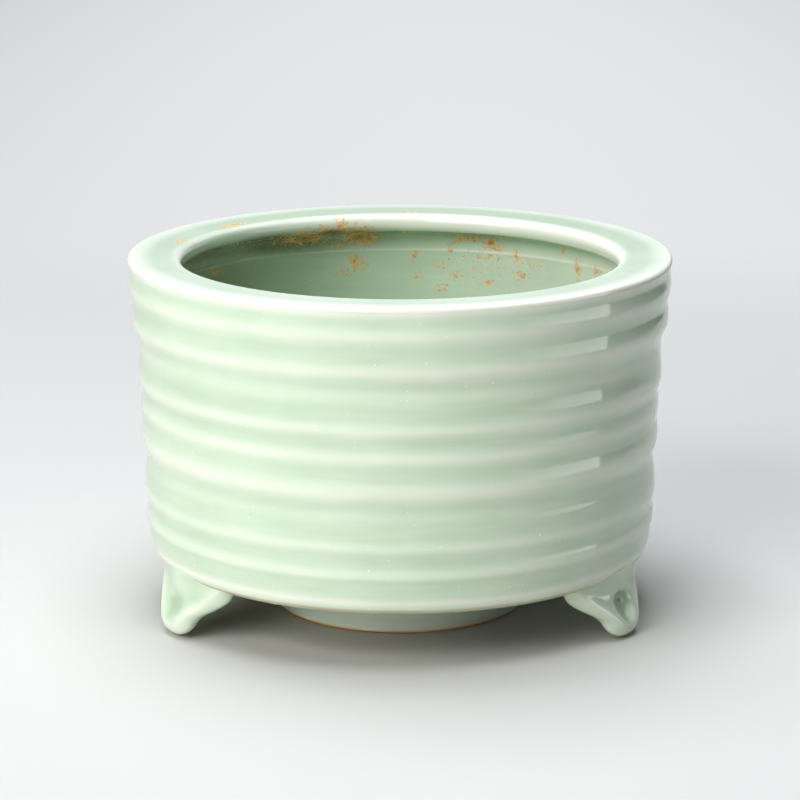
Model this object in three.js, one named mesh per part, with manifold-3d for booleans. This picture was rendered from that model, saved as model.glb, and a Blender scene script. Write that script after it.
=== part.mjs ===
// Tripod incense burner: a ribbed cylinder of glazed stoneware with a mouth rim turned
// inwards, a central foot ring and three cloud-shaped feet. Millimetres, +Z up, with the
// origin on the vessel's axis in the plane of the foot ring's bare lower face.
// The pieces are the ones that a potter makes and lutes together before the glaze.

import * as THREE from 'three';
import { mergeVertices } from 'three/addons/utils/BufferGeometryUtils.js';
import Module from 'manifold-3d';

const wasm = await Module();
wasm.setup();

// Overall form.
const mouthDiameter = 160;
const vesselHeight = 105.6;
const bottomEdgeHeight = 16.4;
const turnSegments = 64;

// Ribbed wall, thrown in three tiers that step in downwards. Set-backs are taken from the
// mouth's radius, and the rolls of the tiers share the wall's height in these proportions,
// all of them from below.
const tiers = [
  { lowSetBack: 5.3, highSetBack: 4.1, rolls: [8, 7.5, 6.5, 10.3] },
  { lowSetBack: 3.5, highSetBack: 2.4, rolls: [8.2, 9, 8.1, 10] },
  { lowSetBack: 0.9, highSetBack: 0, rolls: [8.3, 8.8, 4.5] },
];
const rollRelief = 0.4;
const stepEdgeFullness = 0.4;
const wallThickness = 5.4;
const boreTaper = 2.6;
const floorCove = 2.4;

// Mouth rim. Its outer edge is a narrow flat crest, and from there its top falls a little to the lip.
const mouthOpeningDiameter = 127.8;
const rimEdgeRounding = 1.1;
const rimCrestWidth = 1.4;
const rimTopFall = 0.3;
const lipThickness = 5.9;
const rimUndersideFall = 1.1;

// Base slab.
const floorHeight = 18.8;
const floorDishRadius = 56;
const floorRise = 2.4;
const ringSeatHeight = 11.4;
const bottomEdgeRounding = 4.4;

// Foot ring.
const ringFaceRadius = 37;
const ringFaceWidth = 4.6;
const ringFlare = 1.2;
const ringEdgeBreak = 0.5;

// Feet. Their glazed tips stop just short of the ground, because only the ring is bare.
const footCount = 3;
const firstFootAngle = 90;
const tipClearance = 0.3;
const tipSetBack = 1.4;
const tipHeight = 6.4;
const tipHalfWidth = 8.8;
const taperStart = 1;
const taperEnd = 15;
const lobeReach = 10.8;
const lobeStart = 5;
const lobeFull = 14;
const flareReach = 5.2;
const flareStart = 12;
const footThickness = 7.2;
const footSideFall = 2.6;
const footRoundness = 0.8;

// Relief on the feet's outer faces.
const hollowDepth = 1.8;
const hollowHalfWidth = 4.4;
const hollowHalfHeight = 3.4;
const hollowHeight = 9.6;
const stemRelief = 0.5;
const stemHalfWidth = 1.6;
const rollRise = 1;
const rollHalfHeight = 2.2;
const rollInner = 8.8;
const rollSlope = 0.78;
const dishDepth = 0.6;
const dishOffset = 8;
const dishHalfWidth = 4;
const slipGap = 0.3;

const colours = { glaze: 0xc3dcc0, bareClay: 0xa8794c };
const glaze = () => new THREE.MeshStandardMaterial({ color: colours.glaze, roughness: 0.18, metalness: 0 });
const bareClay = () => new THREE.MeshStandardMaterial({ color: colours.bareClay, roughness: 0.8, metalness: 0 });

const mix = (a, b, t) => a + (b - a) * t;
const clamped = (t) => Math.min(1, Math.max(0, t));
const smooth = (t) => clamped(t) ** 2 * (3 - 2 * clamped(t));
const swell = (t) => Math.exp(-t * t);
const point = (radius, height) => new THREE.Vector2(radius, height);

const mouthRadius = mouthDiameter / 2;
const openingRadius = mouthOpeningDiameter / 2;

// Every roll of the wall from below, with its own heights and those of its tier.
function stackedRolls() {
  const shares = tiers.flatMap((tier) => tier.rolls).reduce((sum, share) => sum + share, 0);
  const scale = (vesselHeight - bottomEdgeHeight) / shares;
  const stack = [];
  let height = bottomEdgeHeight;
  for (const tier of tiers) {
    const tierLow = height;
    const tierHigh = height + scale * tier.rolls.reduce((sum, share) => sum + share, 0);
    for (const share of tier.rolls) {
      const low = height;
      height += share * scale;
      stack.push({ low, high: height, tier, tierLow, tierHigh });
    }
  }
  return stack;
}

const rolls = stackedRolls();
const slabSeamHeight = rolls[0].high;
const collarSeamHeight = rolls[rolls.length - tiers[tiers.length - 1].rolls.length].high;

// Outer radius of the wall at a height within a roll.
function rollRadius(roll, height) {
  const { lowSetBack, highSetBack } = roll.tier;
  const crest = mouthRadius - mix(lowSetBack, highSetBack, (height - roll.tierLow) / (roll.tierHigh - roll.tierLow));
  const share = (height - roll.low) / (roll.high - roll.low);
  const overStep = roll.low === roll.tierLow && share < 0.5;
  const fullness = overStep
    ? mix(stepEdgeFullness, 1, Math.sin(Math.PI * share))
    : 0.5 - 0.5 * Math.cos(2 * Math.PI * share);
  return crest - rollRelief * (1 - fullness);
}

function wallRadius(height) {
  const roll = rolls.find((one) => height <= one.high) ?? rolls[rolls.length - 1];
  return rollRadius(roll, height);
}

// Points of the ribbed wall between two heights: three to a roll and one more under each step.
function wallProfile(low, high) {
  const margin = 0.6;
  const stepLap = 0.2;
  const points = [point(wallRadius(low), low)];
  for (const roll of rolls) {
    const overStep = roll.low === roll.tierLow && roll.low > bottomEdgeHeight;
    if (overStep) points.push(point(wallRadius(roll.low - stepLap), roll.low - stepLap));
    for (const share of [0, 1 / 3, 2 / 3]) {
      const height = mix(roll.low, roll.high, share) + (overStep && share === 0 ? stepLap : 0);
      points.push(point(rollRadius(roll, height), height));
    }
  }
  const within = points.filter((p, i) => i === 0 || (p.y > low + margin && p.y < high - margin));
  return [...within, point(wallRadius(high), high)];
}

// Points of an arc about (x, y), from one angle to another in degrees.
function arc(x, y, radius, from, to, steps = 5) {
  const points = [];
  for (let i = 0; i <= steps; i++) {
    const angle = THREE.MathUtils.degToRad(mix(from, to, i / steps));
    points.push(point(x + radius * Math.cos(angle), y + radius * Math.sin(angle)));
  }
  return points;
}

// A turned piece from a profile of (radius, height) points.
function turned(name, profile, material) {
  const geometry = new THREE.LatheGeometry(profile, turnSegments);
  geometry.rotateX(Math.PI / 2);
  const mesh = new THREE.Mesh(geometry, material);
  mesh.name = name;
  return mesh;
}

// Inner radius of the wall, which draws in a little towards the floor.
function boreRadius(height) {
  const share = (collarSeamHeight - height) / (collarSeamHeight - slabSeamHeight);
  return wallRadius(collarSeamHeight) - wallThickness - boreTaper * share;
}

// The mouth rim, turned inwards, with the short collar below it that sits on the wall's top.
function rimCollar() {
  const edgeTop = vesselHeight - rimEdgeRounding;
  const crestOuter = mouthRadius - rimEdgeRounding;
  const outer = wallProfile(collarSeamHeight, edgeTop).slice(0, -1);
  const edge = arc(crestOuter, edgeTop, rimEdgeRounding, 0, 90, 4);
  const lipRounding = lipThickness / 2;
  const lipTop = vesselHeight - rimTopFall;
  const lip = arc(openingRadius + lipRounding, lipTop - lipRounding, lipRounding, 90, 270, 8);
  const bore = boreRadius(collarSeamHeight);
  const underside = lipTop - lipThickness - rimUndersideFall;
  const cove = rimUndersideFall * 2;
  const profile = [
    ...outer,
    ...edge,
    point(crestOuter - rimCrestWidth, vesselHeight),
    ...lip,
    point(bore - cove, underside),
    point(bore - cove * 0.3, underside - cove * 0.3),
    point(bore, underside - cove),
    point(bore, collarSeamHeight),
    outer[0].clone(),
  ];
  return turned('rim_collar', profile, glaze());
}

// The ribbed wall, with a cove of clay inside at its foot.
function ribbedWall() {
  const outer = wallProfile(slabSeamHeight, collarSeamHeight);
  const coveTop = slabSeamHeight + floorCove * 2;
  const profile = [
    ...outer,
    point(boreRadius(collarSeamHeight), collarSeamHeight),
    point(boreRadius(coveTop), coveTop),
    point(boreRadius(slabSeamHeight) - floorCove * 0.3, slabSeamHeight + floorCove * 0.7),
    point(boreRadius(slabSeamHeight) - floorCove, slabSeamHeight),
    outer[0].clone(),
  ];
  return turned('ribbed_wall', profile, glaze());
}

// The slab's underside and rounded edge, from the axis to the wall, grown by a clearance.
function slabUnderside(growth) {
  const edgeHeight = bottomEdgeHeight + bottomEdgeRounding;
  const seatRadius = ringFaceRadius + ringFlare + 1;
  return [
    point(0, ringSeatHeight - growth),
    point(seatRadius, ringSeatHeight - growth),
    ...arc(wallRadius(edgeHeight) - bottomEdgeRounding, edgeHeight, bottomEdgeRounding + growth, -90, 0, 6),
  ];
}

// The slab that closes the wall below: a dished floor inside, a flat seat for the ring outside.
function baseSlab() {
  const edgeHeight = bottomEdgeHeight + bottomEdgeRounding;
  const profile = [
    ...slabUnderside(0),
    ...wallProfile(edgeHeight, slabSeamHeight).slice(1),
    point(boreRadius(slabSeamHeight) - floorCove, slabSeamHeight),
    point(floorDishRadius + 6, floorHeight + floorRise),
    point(floorDishRadius, floorHeight + floorRise / 4),
    point(floorDishRadius - 8, floorHeight),
    point(0, floorHeight),
  ];
  return turned('base_slab', profile, glaze());
}

// The ring that the burner stands on, bare of glaze below.
function footRing() {
  const inner = ringFaceRadius - ringFaceWidth;
  const profile = [
    point(inner + ringEdgeBreak, 0),
    point(ringFaceRadius - ringEdgeBreak, 0),
    point(ringFaceRadius, ringEdgeBreak),
    point(ringFaceRadius + ringFlare, ringSeatHeight),
    point(inner - ringFlare, ringSeatHeight),
    point(inner, ringEdgeBreak),
    point(inner + ringEdgeBreak, 0),
  ];
  return turned('foot_ring', profile, bareClay());
}

const slabRadius = wallRadius(bottomEdgeHeight + bottomEdgeRounding);
const footTop = bottomEdgeHeight + bottomEdgeRounding * 0.55;

// Share of a foot's full section at a height: nothing at the tip's end, all of it above the tip.
const tipFullness = (height) => Math.sqrt(1 - (1 - clamped((height - tipClearance) / (tipHeight - tipClearance))) ** 2);

// Half of a foot's width at a height: a round tip, then a side lobe, then a flare at the slab.
function footHalfWidth(height) {
  const lobe = lobeReach * smooth((height - lobeStart) / (lobeFull - lobeStart));
  const flare = flareReach * Math.max(0, (height - flareStart) / (footTop - flareStart)) ** 2;
  return tipHalfWidth * tipFullness(height) + lobe + flare;
}

// Relief on a foot's outer face: a spoon-shaped hollow with a stem above it, and on each side
// a raised roll that climbs outwards with a dish over it.
function footRelief(side, height) {
  const hollow = hollowDepth * swell(side / hollowHalfWidth) * swell((height - hollowHeight) / hollowHalfHeight);
  const aboveHollow = smooth((height - hollowHeight) / hollowHalfHeight - 0.3);
  const stem = stemRelief * swell(side / stemHalfWidth) * aboveHollow;
  const outwards = Math.abs(side) - rollInner;
  const crestHeight = hollowHeight + outwards * rollSlope;
  const roll = rollRise * swell((height - crestHeight) / rollHalfHeight) * smooth(outwards / rollInner + 1);
  const dish = dishDepth * swell((Math.abs(side) - dishOffset) / dishHalfWidth) * aboveHollow;
  return stem + roll - hollow - dish;
}

// One level section of a foot, as points that run round it.
function footSection(height, pointCount) {
  const tipRadius = mouthRadius - tipSetBack;
  const face = mix(tipRadius, slabRadius, smooth((height - taperStart) / (taperEnd - taperStart)));
  const fullness = tipFullness(height);
  const halfWidth = footHalfWidth(height);
  const fullHalfWidth = tipHalfWidth + lobeReach + flareReach;
  const points = [];
  for (let i = 0; i < pointCount; i++) {
    const angle = 2 * Math.PI * i / pointCount;
    const side = -halfWidth * Math.cos(angle);
    const bulge = Math.sign(Math.sin(angle)) * Math.abs(Math.sin(angle)) ** footRoundness;
    const middle = face - footThickness / 2 - footSideFall * (side / fullHalfWidth) ** 2;
    const relief = footRelief(side, height) * Math.max(0, bulge);
    const radius = middle + (footThickness / 2 * bulge + relief) * fullness;
    const turn = side / slabRadius;
    points.push(new THREE.Vector3(radius * Math.cos(turn), radius * Math.sin(turn), height));
  }
  return points;
}

function solidOf(geometry) {
  geometry.deleteAttribute('normal');
  geometry.deleteAttribute('uv');
  const merged = mergeVertices(geometry, 1e-4);
  return new wasm.Manifold(new wasm.Mesh({
    numProp: 3,
    vertProperties: new Float32Array(merged.getAttribute('position').array),
    triVerts: new Uint32Array(merged.index.array),
  }));
}

function geometryOf(solid) {
  const mesh = solid.getMesh();
  const geometry = new THREE.BufferGeometry();
  geometry.setAttribute('position', new THREE.BufferAttribute(new Float32Array(mesh.vertProperties), 3));
  geometry.setIndex(new THREE.BufferAttribute(new Uint32Array(mesh.triVerts), 1));
  geometry.computeVertexNormals();
  return geometry;
}

// Heights of a foot's sections: close together round the tip's end, then evenly up to the top.
function footLevels() {
  const tipLevels = 5;
  const upperLevels = 10;
  const heights = [];
  for (let i = 1; i <= tipLevels; i++) {
    heights.push(mix(tipClearance, tipHeight, 1 - Math.cos(Math.PI / 2 * i / tipLevels)));
  }
  for (let i = 1; i <= upperLevels; i++) heights.push(mix(tipHeight, footTop, i / upperLevels));
  return heights;
}

// A foot facing +X, cut to the slab with the thin gap that the luting slip takes up.
function footSolid() {
  const pointCount = 36;
  const levels = footLevels();
  const positions = [];
  const indices = [];
  for (const height of levels) {
    for (const p of footSection(height, pointCount)) positions.push(p.x, p.y, p.z);
  }
  const at = (level, i) => level * pointCount + (i % pointCount);
  for (let level = 0; level + 1 < levels.length; level++) {
    for (let i = 0; i < pointCount; i++) {
      indices.push(at(level, i), at(level, i + 1), at(level + 1, i + 1));
      indices.push(at(level, i), at(level + 1, i + 1), at(level + 1, i));
    }
  }
  const tipPoint = positions.length / 3;
  const topPoint = tipPoint + 1;
  positions.push(mouthRadius - tipSetBack - footThickness / 2, 0, tipClearance);
  positions.push(slabRadius - footThickness / 2, 0, footTop);
  for (let i = 0; i < pointCount; i++) {
    indices.push(tipPoint, at(0, i + 1), at(0, i));
    indices.push(topPoint, at(levels.length - 1, i), at(levels.length - 1, i + 1));
  }
  const geometry = new THREE.BufferGeometry();
  geometry.setAttribute('position', new THREE.Float32BufferAttribute(positions, 3));
  geometry.setIndex(indices);
  const slab = new THREE.LatheGeometry([...slabUnderside(slipGap), point(0, slabSeamHeight)], turnSegments);
  slab.rotateX(Math.PI / 2);
  return solidOf(geometry).subtract(solidOf(slab));
}

const burner = new THREE.Group();
burner.add(rimCollar(), ribbedWall(), baseSlab(), footRing());

const footGeometry = geometryOf(footSolid());
const footNames = ['foot_back', 'foot_front_left', 'foot_front_right'];
for (let i = 0; i < footCount; i++) {
  const foot = new THREE.Mesh(footGeometry, glaze());
  foot.name = footNames[i];
  foot.rotation.z = THREE.MathUtils.degToRad(firstFootAngle + i * 360 / footCount);
  burner.add(foot);
}

export default burner;
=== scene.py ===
import math

import bpy
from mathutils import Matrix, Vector


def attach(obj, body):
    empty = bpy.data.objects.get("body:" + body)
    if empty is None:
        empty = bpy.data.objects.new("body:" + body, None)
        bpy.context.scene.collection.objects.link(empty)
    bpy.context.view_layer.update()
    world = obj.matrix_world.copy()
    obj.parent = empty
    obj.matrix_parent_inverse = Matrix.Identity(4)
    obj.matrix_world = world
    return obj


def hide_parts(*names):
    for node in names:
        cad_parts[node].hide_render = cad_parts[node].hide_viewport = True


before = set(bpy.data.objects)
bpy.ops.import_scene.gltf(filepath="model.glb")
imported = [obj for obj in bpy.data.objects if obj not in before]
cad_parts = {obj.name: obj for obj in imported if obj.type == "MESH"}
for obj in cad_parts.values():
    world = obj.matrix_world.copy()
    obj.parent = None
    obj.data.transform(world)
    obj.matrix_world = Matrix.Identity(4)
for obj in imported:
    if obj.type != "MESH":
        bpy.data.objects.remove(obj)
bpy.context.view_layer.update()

# Tripod incense burner in pale green glazed stoneware. The sizes of its pieces are millimetres,
# and their angles are degrees.
mm = 0.001
print("frame loaded:", ", ".join(sorted(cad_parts)))


def mix(a, b, t):
    return a + (b - a) * t


def clamped(t):
    return min(1.0, max(0.0, t))


def smooth(t):
    return clamped(t) ** 2 * (3 - 2 * clamped(t))


def swell(t):
    return math.exp(-t * t)


# Profiles of the turned pieces: lists of (radius, height, pooling), where pooling runs from
# 0, glaze drawn thin over an edge, to 1, glaze gathered deep in a hollow; in places it also carries painted
# shade and painted highlights.

wallForm = {
    "outline": [  # (height, radius) of the outer face, from the bottom roll up to the rim's edge
        (20.8, 74.35), (22.6, 74.85), (24.4, 75.0), (26.0, 75.2), (27.8, 75.6), (29.6, 75.62),
        (31.8, 75.35), (34.0, 75.6), (36.6, 75.98), (39.6, 75.95), (42.4, 75.7), (45.2, 75.36),
        (46.8, 75.32), (48.0, 75.5), (49.2, 75.86), (50.4, 76.25), (51.6, 76.52), (53.0, 76.64),
        (55.4, 76.45), (57.6, 76.2), (59.8, 76.42), (62.2, 76.68), (64.2, 76.6), (66.3, 76.5),
        (68.2, 76.92), (70.4, 77.38), (73.0, 77.42), (75.6, 77.25), (78.6, 77.12), (80.8, 77.14),
        (82.2, 77.32), (83.4, 77.7), (84.6, 78.2), (85.8, 78.66), (87.0, 78.98), (88.6, 79.14),
        (90.2, 79.1), (92.4, 78.85), (94.4, 79.2), (96.6, 79.65), (98.4, 79.75), (100.2, 79.6),
        (101.6, 79.5), (103.0, 79.7), (104.5, 79.9),
    ],
    "thinBands": [  # (height, half height, thinning): where the glaze has run off a crest and pales
        (104.6, 2.0, 1.3), (97.3, 2.3, 0.8), (86.9, 2.5, 0.9), (80.0, 2.2, 0.5), (70.4, 2.1, 0.85),
        (62.4, 2.1, 0.85), (52.5, 3.0, 0.85), (45.2, 1.6, 0.25), (36.6, 1.7, 0.65),
        (28.9, 1.5, 0.7), (20.6, 1.4, 1.1),
    ],
    "bandRelief": 0.07,
    "thinning": 0.44,
    "rowSpacing": 0.45,
    "innerSpacing": 1.2,
    "collarSeam": 92.3,
    "slabSeam": 24.4,
    "boreAtCollar": 73.5,
    "boreAtSlab": 68.6,
    "boreAboveCove": 70.8,
    "coveTop": 5.0,  # heights above the seam with the slab
    "coveBend": 1.6,
    "coveInset": 0.8,
    "seamBead": 0.16,
    "seamHalfHeight": 0.6,
    "pooling": {"grooves": 0.62, "seam": 0.15, "bore": 0.6, "aboveCove": 0.75, "cove": 0.9,
                "atSlab": 0.95},
}

rimForm = {
    "top": 105.6,
    "edgeRounding": 1.1,
    "edgeRadius": 78.8,
    "edgeJoin": 0.2,
    "crestWidth": 0.9,
    "crestDrop": 0.02,
    "bandDip": 0.05,
    "bandEnd": 0.8,  # how far the flat band stops outside the lip's centre
    "bandRows": 20,
    "lipTop": 105.3,
    "lipCentre": 66.85,
    "lipRounding": 2.95,
    "lipShoulder": 118,  # angles on the lip's round, between its top at 90 and its underside at 270
    "lipFoot": 190,
    "undersideHeight": 98.3,
    "undersideRadius": 71.3,
    "undersideSpacing": 0.6,
    "cornerWidth": 0.7,
    "cornerHeight": 2.2,
    # on the lip's inner face, from lipShoulder to lipFoot, the glaze is paler: partly thin glaze, partly a
    # painted highlight where the lip faces the light
    "pooling": {"edge": 0.1, "crest": 0.06, "crestInner": 0.16, "bandOuter": 0.24, "bandInner": 0.84,
                "bandRamp": 1.8, "lipTop": 0.7, "lipShoulder": 0.1, "lipFoot": 0.05, "lipUnder": 0.9,
                "underside": 1.0, "corner": 0.8, "collar": 0.5},
}

slabForm = {
    "ringSeat": 11.4,
    "ringSeatRadius": 39.2,
    "edgeRounding": 4.4,
    "edgeRadius": 74.35,
    "edgeHeight": 16.4,
    "edgeTurn": (-90, -3),
    "edgeRows": 16,
    "edgeJoin": 0.1,
    "cove": ((62.0, 21.2), (56.0, 19.4)),  # (radius, height) where the floor turns up to the wall
    "floorHeight": 18.8,
    "floorRadius": 48.0,
    "underSpacing": 2.0,
    "floorSpacing": 1.6,
    "pooling": {"underMiddle": 0.8, "under": 1.0, "edge": (0.95, 0.12), "atWall": 0.85,
                "cove": (0.8, 0.75), "floorEdge": 0.7, "floorMiddle": 0.65},
}

ringForm = {
    "face": 37.0,
    "width": 4.6,
    "flare": 1.2,
    "rounding": 0.7,
    "roundingRows": 6,
    "rowSpacing": 0.5,
    "pooling": {"face": 0.2, "edge": 0.3, "outerTop": 0.6, "innerTop": 0.75},
}


def outlineCurve(points):  # a smooth line through the points that never overshoots them
    xs = [p[0] for p in points]
    ys = [p[1] for p in points]
    steps = [(ys[i + 1] - ys[i]) / (xs[i + 1] - xs[i]) for i in range(len(xs) - 1)]
    slopes = [steps[0]]
    for left, right in zip(steps, steps[1:]):
        slopes.append(0.0 if left * right <= 0 else 2 * left * right / (left + right))
    slopes.append(steps[-1])

    def valueAt(x):
        x = min(xs[-1], max(xs[0], x))
        i = max(k for k in range(len(xs) - 1) if xs[k] <= x)
        width = xs[i + 1] - xs[i]
        t = (x - xs[i]) / width
        return (
            ys[i] * (1 + 2 * t) * (1 - t) ** 2
            + slopes[i] * width * t * (1 - t) ** 2
            + ys[i + 1] * t * t * (3 - 2 * t)
            + slopes[i + 1] * width * t * t * (t - 1)
        )

    return valueAt


wallOutline = outlineCurve(wallForm["outline"])


def wallThinness(height):  # 1 where the glaze is thinnest, 0 in the grooves between the bands
    bands = wallForm["thinBands"]
    return min(1.0, sum(thinning * swell((height - middle) / half) for middle, half, thinning in bands))


def outerRows(low, high):
    count = round((high - low) / wallForm["rowSpacing"])
    rows = []
    for k in range(count + 1):
        height = mix(low, high, k / count)
        thinness = wallThinness(height)
        rows.append((wallOutline(height) + wallForm["bandRelief"] * (thinness - 0.5), height,
                     wallForm["pooling"]["grooves"] - wallForm["thinning"] * thinness))
    return rows


def spaced(points, spacing):
    rows = [points[0]]
    for a, b in zip(points, points[1:]):
        count = max(1, round(math.dist(a[:2], b[:2]) / spacing))
        rows += [tuple(mix(p, q, (k + 1) / count) for p, q in zip(a, b)) for k in range(count)]
    return rows


def arcRows(centre, rounding, start, end, pooling, count=12):
    rows = []
    for k in range(count + 1):
        angle = math.radians(mix(start, end, k / count))
        rows.append((centre[0] + rounding * math.cos(angle), centre[1] + rounding * math.sin(angle),
                     mix(pooling[0], pooling[1], k / count)))
    return rows


def collarRows():
    rim, pooling = rimForm, rimForm["pooling"]
    seam, bore, bead = wallForm["collarSeam"], wallForm["boreAtCollar"], wallForm["seamBead"]
    edgeHeight = rim["top"] - rim["edgeRounding"]
    outer = outerRows(seam, edgeHeight - rim["edgeJoin"])
    edge = arcRows((rim["edgeRadius"], edgeHeight), rim["edgeRounding"], 0, 90,
                   (pooling["edge"], pooling["crest"]))
    crestInner = rim["edgeRadius"] - rim["crestWidth"]
    bandInner = rim["lipCentre"] + rim["bandEnd"]
    band = [(crestInner, rim["top"] - rim["crestDrop"], pooling["crestInner"])]
    for k in range(1, rim["bandRows"]):
        t = k / rim["bandRows"]
        dip = rim["bandDip"] * math.sin(math.pi * t)
        band.append((mix(crestInner, bandInner, t),
                     mix(rim["top"], rim["lipTop"] + rim["crestDrop"], t) - dip,
                     mix(pooling["bandOuter"], pooling["bandInner"], smooth(t * pooling["bandRamp"]))))
    centre, rounding = (rim["lipCentre"], rim["lipTop"] - rim["lipRounding"]), rim["lipRounding"]
    shoulder, foot = rim["lipShoulder"], rim["lipFoot"]
    # the pale lip shoulder and foot are partly thin glaze, partly a painted highlight
    lip = arcRows(centre, rounding, 90, shoulder, (pooling["lipTop"], pooling["lipShoulder"]), 6)
    lip += arcRows(centre, rounding, shoulder, foot, (pooling["lipShoulder"], pooling["lipFoot"]))[1:]
    lip += arcRows(centre, rounding, foot, 270, (pooling["lipFoot"], pooling["lipUnder"]))[1:]
    under = [
        (rim["undersideRadius"], rim["undersideHeight"], pooling["underside"]),
        (bore - rim["cornerWidth"], rim["undersideHeight"] - rim["cornerWidth"], pooling["underside"]),
        (bore, rim["undersideHeight"] - rim["cornerHeight"], pooling["corner"]),
        (bore, seam + wallForm["seamHalfHeight"], pooling["collar"]),
        (bore - bead, seam, wallForm["pooling"]["seam"]),
    ]
    return outer + edge + band + lip + spaced([lip[-1]] + under, rim["undersideSpacing"])[1:] + [outer[0]]


def wallRows():
    wall, pooling = wallForm, wallForm["pooling"]
    low, high = wall["slabSeam"], wall["collarSeam"]
    outer = outerRows(low, high)
    inner = [
        (wall["boreAtCollar"] - wall["seamBead"], high, pooling["seam"]),
        (wall["boreAtCollar"], high - wall["seamHalfHeight"], pooling["bore"]),
        (wall["boreAboveCove"], low + wall["coveTop"], pooling["aboveCove"]),
        (wall["boreAboveCove"] - wall["coveInset"], low + wall["coveBend"], pooling["cove"]),
        (wall["boreAtSlab"], low, pooling["atSlab"]),
    ]
    return outer + spaced(inner, wall["innerSpacing"]) + [outer[0]]


def slabRows():
    slab, pooling = slabForm, slabForm["pooling"]
    edgeCentre = (slab["edgeRadius"] - slab["edgeRounding"], slab["edgeHeight"] + slab["edgeRounding"])
    under = [(0.0, slab["ringSeat"], pooling["underMiddle"]),
             (slab["ringSeatRadius"], slab["ringSeat"], pooling["under"])]
    edge = arcRows(edgeCentre, slab["edgeRounding"], *slab["edgeTurn"], pooling["edge"], slab["edgeRows"])
    outer = outerRows(edgeCentre[1] + slab["edgeJoin"], wallForm["slabSeam"])
    floor = [(wallForm["boreAtSlab"], wallForm["slabSeam"], pooling["atWall"])]
    floor += [(*place, depth) for place, depth in zip(slab["cove"], pooling["cove"])]
    floor += [(slab["floorRadius"], slab["floorHeight"], pooling["floorEdge"]),
              (0.0, slab["floorHeight"], pooling["floorMiddle"])]
    return (spaced(under + edge[:1], slab["underSpacing"]) + edge[1:] + outer
            + spaced(floor, slab["floorSpacing"]))


def ringRows():
    ring, pooling = ringForm, ringForm["pooling"]
    rounding, count = ring["rounding"], ring["roundingRows"]
    inner = ring["face"] - ring["width"]
    seat = slabForm["ringSeat"]
    outerEdge = arcRows((ring["face"] - rounding, rounding), rounding, -90, 0,
                        (pooling["face"], pooling["edge"]), count)
    innerEdge = arcRows((inner + rounding, rounding), rounding, 180, 270,
                        (pooling["edge"], pooling["face"]), count)
    walls = [outerEdge[-1], (ring["face"] + ring["flare"], seat, pooling["outerTop"]),
             (inner - ring["flare"], seat, pooling["innerTop"]), innerEdge[0]]
    rows = outerEdge + spaced(walls, ring["rowSpacing"])[1:] + innerEdge[1:]
    return rows + [rows[0]]


# Small builders for node trees.

def feed(tree, socket, value):  # a value is set on the socket, another node's output is linked to it
    if isinstance(value, (int, float, tuple, str)):
        socket.default_value = value
    else:
        tree.links.new(value, socket)


def addNode(tree, kind, inputs=None, **settings):
    node = tree.nodes.new(kind)
    for name, value in settings.items():
        setattr(node, name, value)
    for name, value in (inputs or {}).items():
        feed(tree, node.inputs[name], value)
    return node


def mathNode(tree, operation, *values):
    return addNode(tree, "ShaderNodeMath", dict(enumerate(values)), operation=operation).outputs[0]


def limited(tree, value):
    return mathNode(tree, "MINIMUM", mathNode(tree, "MAXIMUM", value, 0.0), 1.0)


def splitAxes(tree, vector):
    return addNode(tree, "ShaderNodeSeparateXYZ", {0: vector}).outputs


def joinedAxes(tree, x, y, z):
    return addNode(tree, "ShaderNodeCombineXYZ", {"X": x, "Y": y, "Z": z}).outputs[0]


def newGroup(name, kind, inputs, outputs):
    tree = bpy.data.node_groups.new(name, kind)
    for side, sockets in (("INPUT", inputs), ("OUTPUT", outputs)):
        for socket, form in sockets.items():
            tree.interface.new_socket(socket, in_out=side, socket_type="NodeSocket" + form)
    return tree, addNode(tree, "NodeGroupInput").outputs, addNode(tree, "NodeGroupOutput").inputs


# The wheel: sweeps a profile round the axis, with the slight unevenness of throwing.

wheelSizes = {
    "segments": 288,
    "wobble": 0.12,
    "wobbleScale": 14.0,
    "wobbleRise": 1.6,  # the unevenness changes faster up the wall than round it
    "seed": 7.0,
    "meanRadius": 75.0,
    "mergeDistance": 0.002,
    "crispFold": 50,
}


def sampledAt(tree, geometry, value, row, kind):
    node = addNode(tree, "GeometryNodeSampleIndex", data_type=kind, domain="POINT")
    for name, source in (("Geometry", geometry), ("Value", value), ("Index", row)):
        tree.links.new(source, node.inputs[name])
    return node.outputs["Value"]


def unevenOffset(tree, given, radius, height, sine, cosine):
    meanRadius = wheelSizes["meanRadius"] * mm
    around = joinedAxes(tree, mathNode(tree, "MULTIPLY", cosine, meanRadius),
                        mathNode(tree, "MULTIPLY", sine, meanRadius),
                        mathNode(tree, "MULTIPLY", height, wheelSizes["wobbleRise"]))
    noise = addNode(tree, "ShaderNodeTexNoise", noise_dimensions="4D", inputs={
        "Vector": around, "W": given["Seed"], "Scale": given["Wobble Scale"], "Detail": 1.0})
    swing = mathNode(tree, "MULTIPLY", mathNode(tree, "SUBTRACT", noise.outputs[0], 0.5), 2)
    reach = mathNode(tree, "MINIMUM", mathNode(tree, "DIVIDE", radius, meanRadius), 1)
    return mathNode(tree, "MULTIPLY", mathNode(tree, "MULTIPLY", swing, given["Wobble"]), reach)


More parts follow.
